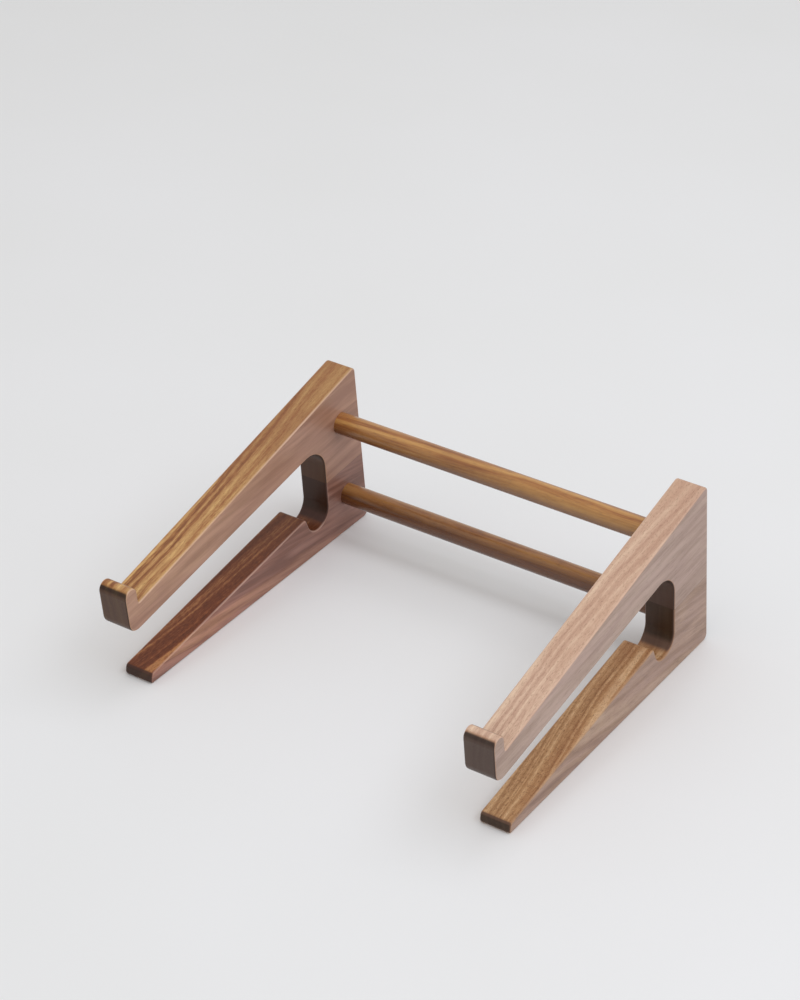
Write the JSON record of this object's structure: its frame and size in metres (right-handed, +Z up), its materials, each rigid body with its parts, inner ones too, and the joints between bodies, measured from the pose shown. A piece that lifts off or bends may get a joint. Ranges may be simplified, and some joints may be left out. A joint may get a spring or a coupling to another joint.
{
  "type": "laptop stand",
  "caption": "Wooden laptop stand of edge-glued board side frames and round cross rods, with lipped sloping arms and a slot that holds a closed laptop when it stands on its rear edges.",
  "frame": {"origin": "bottom centre of the stand's bounding box, on the desk", "axes": "+Z up from the desk, +Y towards the rear edges, +X to the right as seen from the lips"},
  "size_m": [0.269, 0.2466, 0.116],
  "materials": {
    "walnut_golden": "satin oiled walnut, golden brown",
    "walnut_red_brown": "satin oiled walnut, dark red brown",
    "walnut_tan": "satin oiled walnut, pale tan",
    "walnut_mid_brown": "satin oiled walnut, mid brown",
    "rod_varnished": "gloss varnished, honey brown"
  },
  "bodies": {
    "root": {"left_upper_board": "walnut_golden", "left_lower_board": "walnut_red_brown", "right_upper_board": "walnut_tan", "right_lower_board": "walnut_mid_brown", "upper_rod": "rod_varnished", "lower_rod": "rod_varnished"}
  },
  "joints": []
}
